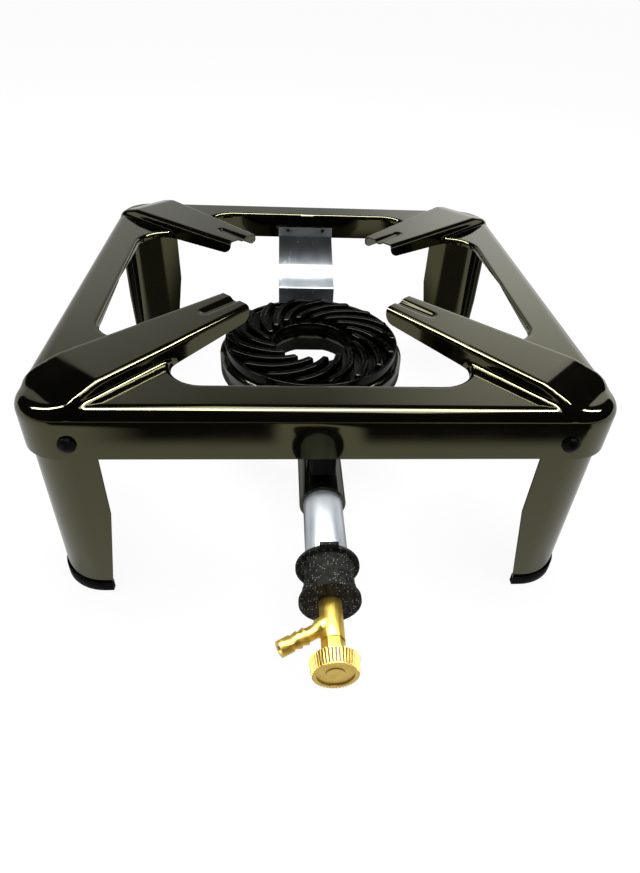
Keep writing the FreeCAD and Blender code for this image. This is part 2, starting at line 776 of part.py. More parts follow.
def main():
    os.makedirs("parts", exist_ok=True)
    one_leg = leg()
    one_cap = foot_cap()
    bolt = leg_bolt()
    nut = leg_nut()
    places = skirt_places(bolt_place, bolt_z)
    rivet = rod(rivet_diameter / 2, -(sheet + strap_thickness), 0)
    rear_screw = laid(screw(rear_screw_diameter, strap_thickness + rear_screw_depth),
                      V(0, rear_boss_place, tongue_top - strap_thickness), V(0, 0, -1))
    front_screw = laid(screw(front_screw_diameter, strap_thickness + front_screw_depth),
                       V(0, -front_boss_place, strap_underside + strap_thickness), UP)
    pieces = {
        "frame_pressing": frame_pressing(),
        "leg_bolts": Part.makeCompound([laid(bolt, place, out) for place, out in places]),
        "leg_nuts": Part.makeCompound([laid(nut, place, out) for place, out in places]),
        "burner_body": burner_body(),
        "burner_cap": burner_cap(),
        "rear_bracket": rear_bracket(),
        "front_bracket": front_bracket(),
        "bracket_rivets": Part.makeCompound([laid(rivet, place, V(0, 1, 0)) for place in rivet_places()]),
        "rear_bracket_screw": rear_screw,
        "front_bracket_screw": front_screw,
        "mixing_tube": mixing_tube(),
        "injector_housing": injector_housing(),
        "air_shutter": air_shutter(),
        "gas_jet": gas_jet(),
        "valve_body": valve_body(),
        "gland_packing": gland_packing(),
        "gland_nut": gland_nut(),
        "valve_spindle": valve_spindle(),
        "control_knob": control_knob(),
    }
    for k, name in enumerate(("rear_right", "rear_left", "front_left", "front_right")):
        pieces["leg_" + name] = turned(one_leg, 90 * k)
        pieces["foot_cap_" + name] = turned(one_cap, 90 * k)
    for name, shape in pieces.items():
        shape.exportStep("parts/" + name + ".step")
        print(name, len(shape.Solids), shape.isValid(), round(shape.Volume / 1000, 2))


main()
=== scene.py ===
import json
import math
import bpy
import numpy as np
from mathutils import Matrix, Vector


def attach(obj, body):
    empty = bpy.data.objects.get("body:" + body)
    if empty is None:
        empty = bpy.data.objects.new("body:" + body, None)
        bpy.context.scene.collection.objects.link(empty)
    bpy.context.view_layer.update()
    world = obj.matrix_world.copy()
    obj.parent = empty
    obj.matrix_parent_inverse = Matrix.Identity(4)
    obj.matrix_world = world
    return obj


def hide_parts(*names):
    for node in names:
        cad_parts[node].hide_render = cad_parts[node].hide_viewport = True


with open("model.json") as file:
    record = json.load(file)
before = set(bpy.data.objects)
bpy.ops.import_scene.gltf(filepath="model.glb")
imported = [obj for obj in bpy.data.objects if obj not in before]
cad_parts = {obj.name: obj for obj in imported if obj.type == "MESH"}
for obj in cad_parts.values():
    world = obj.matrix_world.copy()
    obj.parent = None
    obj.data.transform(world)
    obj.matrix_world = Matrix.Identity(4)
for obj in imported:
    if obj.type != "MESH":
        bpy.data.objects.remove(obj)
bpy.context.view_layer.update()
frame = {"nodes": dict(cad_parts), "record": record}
metre = 0.001                      # shapes are worked out in millimetres
nodes = frame["nodes"]
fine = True
print("frame loaded:", len(nodes), "nodes")


def addPiece(name, verts, faces, body, material, sharpAngle=None):
    mesh = bpy.data.meshes.new(name)
    mesh.from_pydata([tuple(v) for v in np.asarray(verts) * metre], [], [tuple(map(int, f)) for f in faces])
    mesh.validate()
    mesh.update()
    mesh.polygons.foreach_set("use_smooth", [True] * len(mesh.polygons))
    if sharpAngle is not None:
        mesh.set_sharp_from_angle(angle=math.radians(sharpAngle))
    piece = bpy.data.objects.new(name, mesh)
    bpy.context.scene.collection.objects.link(piece)
    piece.data.materials.append(material)
    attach(piece, body)
    return piece


def roundMax(a, b, r):                       # where two solids meet: an outer edge of radius r
    both = (a > -r) & (b > -r)
    return np.where(both, np.hypot(a + r, b + r) - r, np.maximum(a, b))


def roundMin(a, b, r):                       # two solids joined with an inner fillet of radius r
    return -roundMax(-a, -b, r)


def roundMinAt(a, b, r, facing):             # the same in a corner whose walls aren't square to each other
    da, db = a - r, b - r                    # facing is the product of their normals
    arc = (da - facing * db < 0) & (db - facing * da < 0)
    away = np.sqrt(np.maximum(da * da + db * db - 2 * facing * da * db, 0) / (1 - facing * facing))
    return np.where(arc, r - away, np.minimum(a, b))


def softMax(a, b, width):                    # for faces that meet at a shallow angle
    share = np.maximum(width - np.abs(a - b), 0) / width
    return np.maximum(a, b) + share * share * width / 4


def squareField(x, y, half, corner):         # signed distance to a square with round corners
    qx, qy = np.abs(x) - (half - corner), np.abs(y) - (half - corner)
    return np.hypot(np.maximum(qx, 0), np.maximum(qy, 0)) + np.minimum(np.maximum(qx, qy), 0) - corner


def gradientOf(field, points, step=0.02):
    slopes = []
    for axis in range(3):
        shift = np.zeros(3)
        shift[axis] = step
        slopes.append(field(*(points + shift).T) - field(*(points - shift).T))
    return np.stack(slopes, axis=1) / (2 * step)


def settle(field, points, rounds=6, longest=1.5, flattest=0.05):
    for _ in range(rounds):                  # slides points onto the surface where the field is zero
        grad = gradientOf(field, points)
        size = np.maximum((grad * grad).sum(axis=1), flattest)
        move = grad * (field(*points.T) / size)[:, None]
        points = points - np.clip(move, -longest, longest)
    return points


def netSurface(field, low, high, cell):      # quads over the zero surface of a field
    low, high = np.array(low, float), np.array(high, float)
    count = np.ceil((high - low) / cell).astype(int) + 1
    axes = [low[k] + cell * np.arange(count[k]) for k in range(3)]
    values = field(*np.meshgrid(*axes, indexing="ij"))
    inside = values < 0
    shape = tuple(count - 1)
    corners = [(i, j, k) for i in (0, 1) for j in (0, 1) for k in (0, 1)]
    total = sum(inside[i:i + shape[0], j:j + shape[1], k:k + shape[2]].astype(np.int8) for i, j, k in corners)
    cells = np.argwhere((total > 0) & (total < 8))
    index = -np.ones(shape, int)
    index[tuple(cells.T)] = np.arange(len(cells))
    place, hits = np.zeros((len(cells), 3)), np.zeros(len(cells))
    for a in corners:
        for axis in range(3):
            if a[axis]:
                continue
            b = tuple(1 if k == axis else a[k] for k in range(3))
            va, vb = values[tuple((cells + a).T)], values[tuple((cells + b).T)]
            crossed = (va < 0) != (vb < 0)
            share = np.where(crossed, va / np.where(crossed, va - vb, 1), 0)
            spot = np.array(a, float)[None, :].repeat(len(cells), axis=0)
            spot[:, axis] += share
            place += spot * crossed[:, None]
            hits += crossed
    points = low + cell * (cells + place / hits[:, None])
    quads = []
    for axis in range(3):
        u, v = (axis + 1) % 3, (axis + 2) % 3
        first = [slice(None)] * 3
        last = [slice(None)] * 3
        first[axis], last[axis] = slice(0, -1), slice(1, None)
        flips = np.argwhere(inside[tuple(first)] != inside[tuple(last)])
        flips = flips[(flips[:, u] > 0) & (flips[:, v] > 0)
                      & (flips[:, u] < shape[u]) & (flips[:, v] < shape[v])]
        stepU, stepV = np.eye(3, dtype=int)[u], np.eye(3, dtype=int)[v]
        ring = np.stack([index[tuple((flips - d).T)]
                         for d in (stepU + stepV, stepV, 0 * stepU, stepU)], axis=1)
        outward = inside[tuple(flips.T)]
        ring[~outward] = ring[~outward][:, ::-1]
        quads.append(ring)
    return settle(field, points), np.concatenate(quads)


def lathe(profile, steps):                   # a profile of (radius, height) turned about the upright axis
    angles = np.arange(steps) * 2 * math.pi / steps
    verts = [(r * math.cos(a), r * math.sin(a), h) for r, h in profile for a in angles]
    faces = []
    for k in range(len(profile) - 1):
        for s in range(steps):
            t = (s + 1) % steps
            faces.append((k * steps + s, k * steps + t, (k + 1) * steps + t, (k + 1) * steps + s))
    return np.array(verts), faces


def easeCorners(points, radius, steps=3):    # a profile with its corners rounded
    eased = [points[0]]
    for before, corner, after in zip(points, points[1:], points[2:]):
        corner = np.array(corner)
        inward, onward = np.array(before) - corner, np.array(after) - corner
        cut = min(radius, np.linalg.norm(inward) / 2.2, np.linalg.norm(onward) / 2.2)
        first = corner + inward / np.linalg.norm(inward) * cut
        last = corner + onward / np.linalg.norm(onward) * cut
        for t in np.linspace(0, 1, steps + 1):
            eased.append(tuple((1 - t) ** 2 * first + 2 * t * (1 - t) * corner + t * t * last))
    return eased + [points[-1]]


pressedFrame = {
    "half": 200.0, "corner": 30.0, "railTop": 170.0, "panTop": 182.0, "skirtBottom": 133.5,
    "railEdge": 10.0, "railWidth": 33.5, "lipBottom": 165.0, "lipEdge": 2.2,
    "openingCorner": 25.0, "openingSquare": 0.01, "cornerFacing": -0.656, "plateInset": 3.0,
    "tip": 91.0, "tipHalf": 16.0, "rootHalf": 25.0, "behindTip": 12.0, "behindEdge": 1.0,
    "armFall": 0.02, "lean": 0.088, "armEdge": 3.2,                        # slopes of an arm's top and sides
    "dome": 43.0, "domeSlope": 14.0, "domeBlend": 0.8, "domeRound": 30.0, "domeRim": 8.0,
    "footRound": 2.0, "footOuter": 3.2, "footFrom": 187.0, "footBlend": 8.0,
    "footFade": 4.0, "footLeast": 0.02,
    "tipLow": 8.0, "tipRise": 5.5, "riseStart": 168.0,
    "grooveRadius": 5.7, "grooveDepth": 2.2, "grooveEnd": 121.0, "grooveEdge": 1.0,
    "sheet": 1.5, "cell": 1.5, "quickCell": 3.0, "around": 3.0, "above": 4.0,
    "trimReach": 0.6, "trimRounds": 8,
}


def armFields(x, y, z, p):                   # nearest arm: its plan and its whole form
    ax, ay = np.abs(x), np.abs(y)
    along = (ax + ay) / math.sqrt(2)
    across = (ay - ax) / math.sqrt(2)
    reach = (p["half"] - p["corner"]) * math.sqrt(2) + p["corner"]
    bend = reach - p["dome"]
    widening = (p["rootHalf"] - p["tipHalf"]) / (bend - p["tip"])
    half = p["tipHalf"] + widening * (along - p["tip"]) + (p["panTop"] - z) * p["lean"]
    sides = (np.abs(across) - half) / math.sqrt(1 + widening ** 2 + p["lean"] ** 2)
    slope = math.radians(p["domeSlope"])
    sag = p["armFall"] * (np.clip(along, p["tip"], bend) - p["tip"])   # the arm's top falls a little outwards
    level = z - p["panTop"] + sag
    top = softMax(level, level * math.cos(slope) + (along - bend) * math.sin(slope),
                  p["domeBlend"])
    skirt = squareField(x, y, p["half"], p["corner"])
    roll = roundMax(top, along - reach, p["domeRound"])                # and bends down over the corner
    body = roundMax(roundMax(roll, skirt, p["domeRim"]), sides, p["armEdge"])
    depth = z - (p["panTop"] + p["grooveRadius"] - p["grooveDepth"])
    groove = (np.sqrt(across ** 2 + depth ** 2 + np.maximum(along - p["grooveEnd"], 0) ** 2)
              - p["grooveRadius"])
    body = roundMax(body, -groove, p["grooveEdge"])
    return sides, roundMax(body, p["tip"] - p["behindTip"] - along, p["behindEdge"])


def pressingField(x, y, z):
    p = pressedFrame
    sides, arm = armFields(x, y, z, p)
    opening = -squareField(x, y, p["half"] - p["railWidth"], p["openingSquare"])
    plan = roundMinAt(opening, sides + p["plateInset"], p["openingCorner"], p["cornerFacing"])
    skirt = squareField(x, y, p["half"], p["corner"])
    rail = roundMax(roundMax(skirt, z - p["railTop"], p["railEdge"]), plan, p["lipEdge"])
    outer = np.clip((np.maximum(np.abs(x), np.abs(y)) - p["footFrom"]) / p["footBlend"], 0, 1)
    foot = p["footRound"] + (p["footOuter"] - p["footRound"]) * outer
    return roundMin(rail, arm, foot * np.clip(-skirt / p["footFade"], p["footLeast"], 1))


def pressingTrim(x, y, z):                   # below zero where the sheet is kept
    p = pressedFrame
    inner = np.maximum(np.abs(x), np.abs(y)) < p["half"] - p["railWidth"] / 2
    along = (np.abs(x) + np.abs(y)) / math.sqrt(2)
    rise = p["tipRise"] * np.clip((p["riseStart"] - along) / (p["riseStart"] - p["tip"]), 0, 1)
    tipEdge = roundMax(p["tip"] - along, p["lipBottom"] + rise - z, p["tipLow"])
    return np.where(inner, tipEdge, p["skirtBottom"] - z)


def makePressing(material):
    p = pressedFrame
    reach = p["half"] + p["around"]
    low = (-reach, -reach, p["skirtBottom"] - p["above"])
    high = (reach, reach, p["panTop"] + p["above"])
    points, quads = netSurface(pressingField, low, high, p["cell"] if fine else p["quickCell"])
    keep = (pressingTrim(*points.T)[quads] < p["trimReach"]).all(axis=1)
    quads = quads[keep]
    used, flat = np.unique(quads, return_inverse=True)
    points, quads = points[used], flat.reshape(quads.shape)
    edges = np.concatenate([quads[:, [k, (k + 1) % 4]] for k in range(4)])
    pair = np.sort(edges, axis=1)
    _, back, times = np.unique(pair, axis=0, return_inverse=True, return_counts=True)
    rim = edges[times[back.reshape(-1)] == 1]
    border = np.zeros(len(points), bool)
    border[rim] = True
    border |= pressingTrim(*points.T) > 0
    edge = points[border]
    for _ in range(p["trimRounds"]):
        edge = settle(pressingTrim, edge, 1)
        edge = settle(pressingField, edge, 1)
    points[border] = edge
    normals = gradientOf(pressingField, points)
    normals /= np.linalg.norm(normals, axis=1)[:, None]
    inner = points - normals * p["sheet"]
    count = len(points)
    verts = np.concatenate([points, inner])
    walls = np.stack([rim[:, 1], rim[:, 0], rim[:, 0] + count, rim[:, 1] + count], axis=1)
    faces = np.concatenate([quads, quads[:, ::-1] + count, walls])
    piece = addPiece("pressedFrame", verts, faces, "stand", material)
    sharp = piece.data.attributes.new("sharp_edge", "BOOLEAN", "EDGE")
    rimSet = {tuple(sorted(e)) for e in rim.tolist()} | {tuple(sorted(e)) for e in (rim + count).tolist()}
    ends = np.zeros(len(piece.data.edges) * 2, int)
    piece.data.edges.foreach_get("vertices", ends)
    sharp.data.foreach_set("value", [tuple(sorted(e)) in rimSet for e in ends.reshape(-1, 2).tolist()])
    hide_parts("frame_pressing")
    print("pressed frame:", len(faces), "faces")


rearStrap = {
    "start": 145.5, "behind": 197.5, "fold": 134.5, "knee": 129.0, "kneeTop": 101.5, "end": 50.0,
    "gentle": 15.0, "steep": 28.5, "easeFrom": 0.55, "easeOver": 0.35, "slopeSteps": 41,
    "bend": 3.5, "bendSteps": 6, "halfWidth": 30.5, "thickness": 2.0, "edge": 0.5, "edgeSteps": 4,
    "endCorner": 6.0, "sharp": 50.0,
}


def makeRearStrap(material):                 # plated strip, steep below the skirt and gentle above its knee
    p = rearStrap
    low = min(v.co.z for v in nodes["rear_bracket"].data.vertices) / metre + p["thickness"] / 2
    run = p["behind"] - p["knee"]
    share = np.linspace(0, 1, p["slopeSteps"])
    ease = np.clip((share - p["easeFrom"]) / p["easeOver"], 0, 1)
    tilt = np.radians(p["steep"] + (p["gentle"] - p["steep"]) * ease * ease * (3 - 2 * ease))
    fall = np.concatenate([[0], np.cumsum((np.tan(tilt)[1:] + np.tan(tilt)[:-1]) / 2)])
    fall *= (p["fold"] - p["kneeTop"]) / fall[-1]
    slope = [(p["behind"] - run * s, p["fold"] - f) for s, f in zip(share, fall)]
    path = [(p["behind"], p["start"])] + slope + [(p["knee"], low), (p["end"], low)]
    path = np.array(easeCorners(path, p["bend"], p["bendSteps"]))
    step = np.linalg.norm(np.diff(path, axis=0), axis=1)
    path = path[np.concatenate([[True], step > 0.01])]
    ahead = np.gradient(path, axis=0)
    ahead /= np.linalg.norm(ahead, axis=1)[:, None]
    out = np.stack([ahead[:, 1], -ahead[:, 0]], axis=1)
    left = np.concatenate([[0], np.cumsum(np.linalg.norm(np.diff(path, axis=0), axis=1))])
    left = left[-1] - left
    corner = p["endCorner"]
    over = np.clip(corner - left, 0, corner)
    half = p["halfWidth"] - corner + np.sqrt(corner ** 2 - over ** 2)
    deep, soft = p["thickness"] / 2, p["edge"]
    section = []
    for sx, sd in ((1, 1), (-1, 1), (-1, -1), (1, -1)):
        turns = np.linspace(0, math.pi / 2, p["edgeSteps"])
        if sx * sd < 0:
            turns = turns[::-1]
        section += [(sx, sx * (math.cos(t) - 1) * soft, sd * (deep - soft + soft * math.sin(t)))
                    for t in turns]
    verts = [(sx * h + dx, *(spot + side * dd))
             for spot, side, h in zip(path, out, half) for sx, dx, dd in section]
    count = len(section)
    faces = [(r * count + c, r * count + (c + 1) % count,
              (r + 1) * count + (c + 1) % count, (r + 1) * count + c)
             for r in range(len(path) - 1) for c in range(count)]
    faces += [tuple(range(count))[::-1], tuple(len(verts) - count + c for c in range(count))]
    piece = addPiece("rearStrap", verts, faces, "stand", material, p["sharp"])
    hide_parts("rear_bracket")
    print("rear strap:", len(faces), "faces")


burnerCap = {
    "seat": 97.0, "under": 104.0, "ledge": 108.0, "rim": 112.0, "top": 115.0,
    "radius": 80.0, "rimInner": 77.5, "channelOuter": 76.0, "channelInner": 42.5,
    "hole": 36.5, "holeTaper": 1 / 35, "castEdge": 0.8,
    "ribs": 18, "ribWidth": 7.5, "ribSweep": 45.0, "ribBow": 7.5, "ribEndGap": 1.0, "ribFoot": 1.5,
    "slotHalf": 1.6, "slotWall": 0.15, "slotLength": 1.25, "slotPitch": 2.7, "slotDepth": 1.4,
    "slotStart": 4.0, "slotStop": 1.5,
    "step": 0.3, "quickStep": 0.9, "turns": 180, "quickTurns": 72, "sharp": 50.0,
    "endSteps": 8, "endFirst": 0.03, "endFall": 0.3, "endThin": 0.0004,      # how a rib's ends are rounded
    "section": ((1.0, 0.0), (1.0, 0.3), (0.97, 0.52), (0.9, 0.7), (0.78, 0.85), (0.62, 0.96), (0.5, 1.0)),
}


def swirlRib(p):                             # one curved rib with a ladder of small slots along its top
    half = p["ribWidth"] / 2
    start = np.array([p["radius"] - p["ribEndGap"] - half, 0.0])
    sweep = math.radians(p["ribSweep"])
    end = (p["hole"] + half) * np.array([math.cos(sweep), math.sin(sweep)])
    chord = end - start
    length = np.linalg.norm(chord)
    out = np.array([chord[1], -chord[0]]) / length
    radius = length ** 2 / (8 * p["ribBow"]) + p["ribBow"] / 2
    centre = (start + end) / 2 - out * (radius - p["ribBow"])
    low, high = (math.atan2(*(spot - centre)[::-1]) for spot in (start, end))
    run = radius * (high - low)
    step = p["step"] if fine else p["quickStep"]
    ends = half * np.sin(np.linspace(p["endFirst"], 1, p["endSteps"]) * math.pi / 2)
    places = np.concatenate([-ends[::-1], np.arange(step, run, step), run + ends])
    tall = p["top"] - p["ledge"]
    sides = [(share * half, height * tall) for share, height in p["section"]]
    sides[0] = (half, -p["ribFoot"])
    slot = [(p["slotHalf"], tall), (p["slotHalf"] - p["slotWall"], tall), (0.0, tall)]
    section = [(-a, h) for a, h in sides + slot] + [(a, h) for a, h in (sides + slot)[-2::-1]]
    sunk = [abs(a) < p["slotHalf"] - 0.01 for a, _ in section]
    verts, faces = [], []
    for row, place in enumerate(places):
        over = max(-place, place - run, 0) / half
        wide = math.sqrt(max(1 - over ** 2, p["endThin"]))
        lift = 1 - p["endFall"] * over ** 2
        phase = (place - p["slotStart"]) % p["slotPitch"]
        cut = p["slotStart"] <= place <= run - p["slotStop"] and phase < p["slotLength"]
        angle = low + place / radius
        ray = np.array([math.cos(angle), math.sin(angle)])
        for column, (a, h) in enumerate(section):
            spot = centre + ray * (radius + a * wide)
            height = h * lift if h > 0 else h
            verts.append((*spot, p["ledge"] + height - (p["slotDepth"] if cut and sunk[column] else 0)))
            if row and column:
                here = row * len(section) + column
                faces.append((here, here - 1, here - 1 - len(section), here - len(section)))
    return np.array(verts), faces


def makeBurnerCap(material):
    p = burnerCap
    bore = [(p["hole"] - (p["top"] - z) * p["holeTaper"], z) for z in (p["ledge"], p["seat"])]
    ring = [bore[0], bore[1], (p["channelInner"], p["seat"]), (p["channelInner"], p["under"]),
            (p["channelOuter"], p["under"]), (p["channelOuter"], p["seat"]), (p["radius"], p["seat"]),
            (p["radius"], p["rim"]), (p["rimInner"], p["rim"]), (p["rimInner"], p["ledge"]), bore[0]]
    middle = ((bore[0][0] + bore[1][0]) / 2, (bore[0][1] + bore[1][1]) / 2)
    ring = easeCorners([middle] + ring[1:] + [middle], p["castEdge"])
    verts, faces = lathe(ring, p["turns"] if fine else p["quickTurns"])
    ribVerts, ribFaces = swirlRib(p)
    allVerts, allFaces = [verts], list(faces)
    count = len(verts)
    for k in range(p["ribs"]):
        turn = 2 * math.pi * k / p["ribs"]
        spin = np.array([[math.cos(turn), math.sin(turn), 0],
                         [-math.sin(turn), math.cos(turn), 0], [0, 0, 1]])
        allVerts.append(ribVerts @ spin)
        allFaces += [tuple(v + count for v in face) for face in ribFaces]
        count += len(ribVerts)
    piece = addPiece("burnerCap", np.concatenate(allVerts), allFaces,
                     "stand", material, p["sharp"])
    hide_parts("burner_cap")
    print("burner cap:", len(allFaces), "faces")


def addNode(tree, kind, inputs=None, **settings):
    node = tree.nodes.new("ShaderNode" + kind)
    for key, value in settings.items():
        setattr(node, key, value)
    for key, value in (inputs or {}).items():
        if isinstance(value, bpy.types.NodeSocket):
            tree.links.new(value, node.inputs[key])
        else:
            node.inputs[key].default_value = value
    return node


def reckon(tree, operation, a, b=0.0, **settings):
    return addNode(tree, "Math", {0: a, 1: b}, operation=operation, **settings).outputs[0]


def ramp(tree, value, low, high, start=0.0, end=1.0, smooth=True):
    ends = {"From Min": low, "From Max": high, "To Min": start, "To Max": end}
    return addNode(tree, "MapRange", {"Value": value, **ends},
                   interpolation_type="SMOOTHSTEP" if smooth else "LINEAR").outputs[0]


def blend(tree, mask, first, second):        # one colour laid over another
    return addNode(tree, "Mix", {0: mask, 6: first, 7: second}, data_type="RGBA").outputs[2]


def newGroup(name, inputs, outputs):         # an effect that several finishes share
    group = bpy.data.node_groups.new(name, "ShaderNodeTree")
    kinds = {"value": "NodeSocketFloat", "color": "NodeSocketColor", "vector": "NodeSocketVector"}
    for label, kind, default in inputs:
        group.interface.new_socket(name=label, in_out="INPUT", socket_type=kinds[kind]).default_value = default
    for label, kind in outputs:
        group.interface.new_socket(name=label, in_out="OUTPUT", socket_type=kinds[kind])
    return group, group.nodes.new("NodeGroupInput").outputs, group.nodes.new("NodeGroupOutput").inputs


def useGroup(tree, group, values):
    node = addNode(tree, "Group", node_tree=group)
    for key, value in values.items():
        node.inputs[key].default_value = value
    return node.outputs


def stretchedPlace(tree, stretch=(1, 1, 1)):
    place = addNode(tree, "TexCoord").outputs["Object"]
    return addNode(tree, "VectorMath", {0: place, 1: stretch}, operation="MULTIPLY").outputs[0]


def makeMottle():                            # two shades in cloudy patches, and their mask
    group, given, result = newGroup("mottle", [
        ("Scale", "value", 60.0), ("Detail", "value", 5.0), ("Spread", "value", 0.2),
        ("Dark", "color", (0, 0, 0, 1)), ("Light", "color", (1, 1, 1, 1)), ("Stretch", "vector", (1, 1, 1))],
        [("Color", "color"), ("Mask", "value")])
    cloud = addNode(group, "TexNoise", {
        "Vector": stretchedPlace(group, given["Stretch"]), "Scale": given["Scale"],
        "Detail": given["Detail"], "Roughness": 0.55}).outputs["Fac"]
    low, high = (reckon(group, side, 0.5, given["Spread"]) for side in ("SUBTRACT", "ADD"))
    mask = ramp(group, cloud, low, high)
    group.links.new(blend(group, mask, given["Dark"], given["Light"]), result["Color"])
    group.links.new(mask, result["Mask"])
    return group


def makeSpecks():                            # dust and bare points, scattered cell by cell
    group, given, result = newGroup("specks", [
        ("Scale", "value", 300.0), ("Size", "value", 0.15), ("Share", "value", 0.2)], [("Mask", "value")])
    cells = addNode(group, "TexVoronoi", {"Vector": stretchedPlace(group), "Scale": given["Scale"]}).outputs
    dot = ramp(group, cells["Distance"], given["Size"], 0.0, smooth=False)
    picked = addNode(group, "SeparateColor", {0: cells["Color"]}).outputs[0]
    chosen = reckon(group, "LESS_THAN", picked, given["Share"])
    group.links.new(reckon(group, "MULTIPLY", dot, chosen), result["Mask"])
    return group


def makeEdgeWear():                          # where edges are rubbed, broken up by noise
    group, given, result = newGroup("edgeWear", [
        ("Width", "value", 0.0005), ("Gain", "value", 4.0), ("Scale", "value", 300.0)], [("Mask", "value")])
    soft = addNode(group, "Bevel", {"Radius": given["Width"]}, samples=4).outputs[0]
    hard = addNode(group, "NewGeometry").outputs["Normal"]
    same = addNode(group, "VectorMath", {0: soft, 1: hard}, operation="DOT_PRODUCT").outputs["Value"]
    strong = reckon(group, "MULTIPLY", reckon(group, "SUBTRACT", 1.0, same), given["Gain"], use_clamp=True)
    cloud = addNode(group, "TexNoise", {
        "Vector": stretchedPlace(group), "Scale": given["Scale"], "Detail": 4.0})
    broken = ramp(group, cloud.outputs["Fac"], 0.4, 0.6, smooth=False)
    group.links.new(reckon(group, "MULTIPLY", strong, broken), result["Mask"])
    return group


def makeGrain():                             # fine skin of a cast, moulded, sprayed or brushed surface
    group, given, result = newGroup("grain", [
        ("Scale", "value", 600.0), ("Coarse", "value", 0.4), ("Stretch", "vector", (1, 1, 1))],
        [("Height", "value")])
    place = stretchedPlace(group, given["Stretch"])
    wide = reckon(group, "MULTIPLY", given["Scale"], 0.22)
    skin, lumps = (
        addNode(group, "TexNoise", {"Vector": place, "Scale": scale, "Detail": detail}).outputs["Fac"]
        for scale, detail in ((given["Scale"], 3.0), (wide, 2.0)))
    height = addNode(group, "Mix", {0: given["Coarse"], 2: skin, 3: lumps})
    group.links.new(height.outputs[0], result["Height"])
    return group


knobFlutes = {                               # the knob's rim, in metres, and how far in from it the painted shade lies
    "Radius": 0.014, "Taper": 0.08, "Back": 0.3235, "Thickness": 0.0088, "Height": 0.096,
    "Deep": 0.965, "Shallow": 0.99, "Inside": 0.9, "Face": 0.93,
}


def makeFluteShade():                         # painted shade at the bottom of the knob's flutes
    group, given, result = newGroup(
        "fluteShade", [(label, "value", value) for label, value in knobFlutes.items()], [("Mask", "value")])
    east, north, up = addNode(group, "SeparateXYZ", {0: stretchedPlace(group)}).outputs
    rise = reckon(group, "SUBTRACT", up, given["Height"])
    square = reckon(group, "ADD", reckon(group, "MULTIPLY", rise, rise),
                    reckon(group, "MULTIPLY", east, east))
    forward = reckon(group, "SUBTRACT", reckon(group, "MULTIPLY", north, -1.0), given["Back"])
    share = reckon(group, "DIVIDE", forward, given["Thickness"])
    narrowing = reckon(group, "SUBTRACT", 1.0, reckon(group, "MULTIPLY", share, given["Taper"]))
    rim = reckon(group, "MULTIPLY", given["Radius"], narrowing)
    ratio = reckon(group, "DIVIDE", reckon(group, "SQRT", square), rim)
    paintedShade = ramp(group, ratio, given["Deep"], given["Shallow"], 1.0, 0.0, smooth=False)
    side = reckon(group, "MULTIPLY", reckon(group, "LESS_THAN", share, given["Face"]),
                  reckon(group, "GREATER_THAN", ratio, given["Inside"]))
    group.links.new(reckon(group, "MULTIPLY", paintedShade, side), result["Mask"])
    return group


mottle = makeMottle()
specks = makeSpecks()
edgeWear = makeEdgeWear()
grain = makeGrain()
fluteShade = makeFluteShade()
